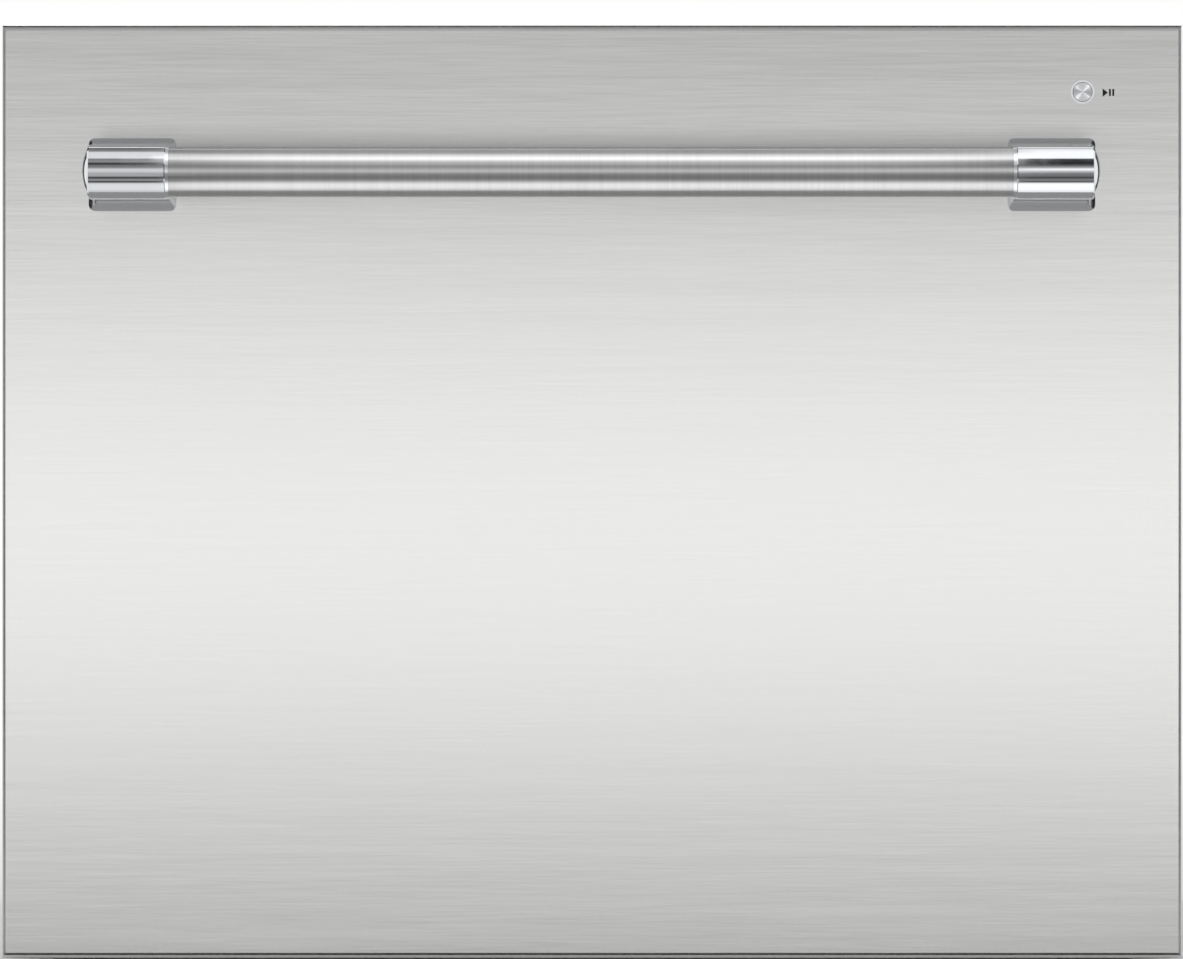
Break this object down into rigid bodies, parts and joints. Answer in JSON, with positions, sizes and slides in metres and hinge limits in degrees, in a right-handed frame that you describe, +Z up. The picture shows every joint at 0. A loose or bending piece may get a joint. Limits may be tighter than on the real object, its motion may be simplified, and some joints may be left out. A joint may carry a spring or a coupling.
{
  "type": "dishwasher drawer",
  "caption": "Built-in dishwasher drawer with a brushed steel front, a bar handle, telescopic runners, wash tub, drop-down lid and rack.",
  "frame": {"origin": "on the floor under the middle of the whole object's box", "axes": "+Z up, +X to the right seen from the front, +Y to the rear; the front panel faces -Y"},
  "size_m": [0.599, 0.6306, 0.479],
  "materials": {
    "brushed_stainless": "number 4 brushed stainless steel",
    "polished_chrome": "polished chrome plate",
    "brushed_chrome_button": "turned and chromed cap",
    "galvanised_steel": "zinc-coated sheet steel",
    "rail_steel": "bright zinc-plated rolled steel",
    "fastener_steel": "zinc-plated steel",
    "tub_plastic": "light grey moulded polypropylene",
    "white_plastic": "white moulded polypropylene",
    "trim_plastic": "mid grey moulded plastic",
    "dark_plastic": "dark grey moulded plastic",
    "gloss_black": "gloss black touch strip",
    "insulation": "sound-deadening felt",
    "seal_rubber": "grey-black sponge rubber",
    "hose_rubber": "ribbed black hose",
    "wire_coating": "grey nylon coating on steel wire",
    "foot_rubber": "black rubber and plastic foot",
    "circuit": "moulded box with a green circuit board"
  },
  "bodies": {
    "chassis": {"side_left": "galvanised_steel", "side_right": "galvanised_steel", "top_cover": "galvanised_steel", "rear_panel": "galvanised_steel", "base_tray": "galvanised_steel", "chassis_screws": "fastener_steel", "cabinet_brackets": "fastener_steel", "rail_outer_left": "rail_steel", "rail_outer_right": "rail_steel", "lid_guide_pins": "fastener_steel", "lid_actuators": "dark_plastic", "lid_springs": "fastener_steel", "inlet_valve": "white_plastic", "drain_outlet": "dark_plastic", "cable_gland": "dark_plastic", "link_hoses": "hose_rubber"},
    "foot_front_left": {"foot_front_left": "foot_rubber"},
    "foot_front_right": {"foot_front_right": "foot_rubber"},
    "foot_rear_left": {"foot_rear_left": "foot_rubber"},
    "foot_rear_right": {"foot_rear_right": "foot_rubber"},
    "lid": {"lid": "white_plastic", "lid_seal": "seal_rubber", "lid_plungers": "fastener_steel"},
    "mid_rails": {"rail_mid_left": "rail_steel", "rail_mid_right": "rail_steel"},
    "outer_cages": {"outer_ball_cages": "rail_steel"},
    "inner_cages": {"inner_ball_cages": "rail_steel"},
    "drawer": {"front_panel": "brushed_stainless", "door_insulation": "insulation", "door_liner": "trim_plastic", "control_strip": "gloss_black", "control_board": "circuit", "handle_bar": "brushed_stainless", "handle_post_left": "polished_chrome", "handle_post_right": "polished_chrome", "handle_screws": "fastener_steel", "button_bezel": "polished_chrome", "button_switch": "circuit", "tub": "tub_plastic", "runner_brackets": "fastener_steel", "rail_inner_left": "rail_steel", "rail_inner_right": "rail_steel", "dispenser_body": "white_plastic", "filter_plate": "fastener_steel", "sump_cover": "trim_plastic", "wash_motor": "dark_plastic", "drain_pump": "dark_plastic", "fan_housing": "dark_plastic", "rack": "wire_coating", "cutlery_basket": "trim_plastic"},
    "start_button": {"start_button": "brushed_chrome_button"},
    "dispenser_door": {"dispenser_door": "trim_plastic"},
    "rinse_cap": {"rinse_cap": "dark_plastic"},
    "filter_cup": {"filter_cup": "trim_plastic"},
    "spray_arm": {"spray_arm": "trim_plastic"},
    "wash_rotor": {"wash_rotor": "fastener_steel"},
    "fan_rotor": {"fan_rotor": "trim_plastic"},
    "folding_tines": {"folding_tines": "wire_coating"},
    "cup_rack_left": {"cup_rack_left": "wire_coating"},
    "cup_rack_right": {"cup_rack_right": "wire_coating"}
  },
  "joints": [
    {"name": "drawer_slide", "type": "slide", "parent": "chassis", "child": "drawer", "axis": [0, -1, 0], "range_m": [0, 0.46]},
    {"name": "mid_rail_slide", "type": "slide", "parent": "chassis", "child": "mid_rails", "axis": [0, -1, 0], "range_m": [0, 0.23]},
    {"name": "outer_cage_slide", "type": "slide", "parent": "chassis", "child": "outer_cages", "axis": [0, -1, 0], "range_m": [0, 0.115]},
    {"name": "inner_cage_slide", "type": "slide", "parent": "chassis", "child": "inner_cages", "axis": [0, -1, 0], "range_m": [0, 0.345]},
    {"name": "lid_drop", "type": "slide", "parent": "chassis", "child": "lid", "axis": [0, 0, 1], "range_m": [-0.008, 0], "stiffness_N_per_m": 2500, "springref_m": 0.02, "deforming": ["lid_springs"]},
    {"name": "foot_front_left_wind", "type": "slide", "parent": "chassis", "child": "foot_front_left", "axis": [0, 0, -1], "range_m": [0, 0.015]},
    {"name": "foot_front_right_wind", "type": "slide", "parent": "chassis", "child": "foot_front_right", "axis": [0, 0, -1], "range_m": [0, 0.015]},
    {"name": "foot_rear_left_wind", "type": "slide", "parent": "chassis", "child": "foot_rear_left", "axis": [0, 0, -1], "range_m": [0, 0.015]},
    {"name": "foot_rear_right_wind", "type": "slide", "parent": "chassis", "child": "foot_rear_right", "axis": [0, 0, -1], "range_m": [0, 0.015]},
    {"name": "start_button_press", "type": "slide", "parent": "drawer", "child": "start_button", "axis": [0, 1, 0], "range_m": [0, 0.0012], "stiffness_N_per_m": 400, "springref_m": -0.001},
    {"name": "dispenser_door_hinge", "type": "hinge", "parent": "drawer", "child": "dispenser_door", "pos_m": [0, -0.18065, 0.4], "axis": [1, 0, 0], "range_deg": [0, 90]},
    {"name": "rinse_cap_turn", "type": "hinge", "parent": "drawer", "child": "rinse_cap", "pos_m": [-0.046, -0.18465, 0.368], "axis": [0, 1, 0], "range_deg": [0, 90]},
    {"name": "filter_cup_turn", "type": "hinge", "parent": "drawer", "child": "filter_cup", "pos_m": [0.105, 0.02235, 0.09], "axis": [0, 0, 1], "range_deg": [0, 90]},
    {"name": "spray_arm_spin", "type": "hinge", "parent": "drawer", "child": "spray_arm", "pos_m": [0, 0.02235, 0.1], "axis": [0, 0, 1], "continuous": true},
    {"name": "wash_rotor_spin", "type": "hinge", "parent": "drawer", "child": "wash_rotor", "pos_m": [0, 0.02235, 0.06], "axis": [0, 0, 1], "continuous": true},
    {"name": "fan_spin", "type": "hinge", "parent": "drawer", "child": "fan_rotor", "pos_m": [-0.165, -0.22765, 0.345], "axis": [0, 1, 0], "continuous": true},
    {"name": "tines_fold", "type": "hinge", "parent": "drawer", "child": "folding_tines", "pos_m": [0, -0.02265, 0.1438], "axis": [-1, 0, 0], "range_deg": [0, 90]},
    {"name": "cup_rack_left_fold", "type": "hinge", "parent": "drawer", "child": "cup_rack_left", "pos_m": [-0.226, -0.00765, 0.237], "axis": [0, -1, 0], "range_deg": [0, 85]},
    {"name": "cup_rack_right_fold", "type": "hinge", "parent": "drawer", "child": "cup_rack_right", "pos_m": [0.226, -0.00765, 0.237], "axis": [0, 1, 0], "range_deg": [0, 85]}
  ],
  "couplings": [
    {"joint": "mid_rail_slide", "follows": "drawer_slide", "ratio": 0.5},
    {"joint": "outer_cage_slide", "follows": "drawer_slide", "ratio": 0.25},
    {"joint": "inner_cage_slide", "follows": "drawer_slide", "ratio": 0.75}
  ]
}
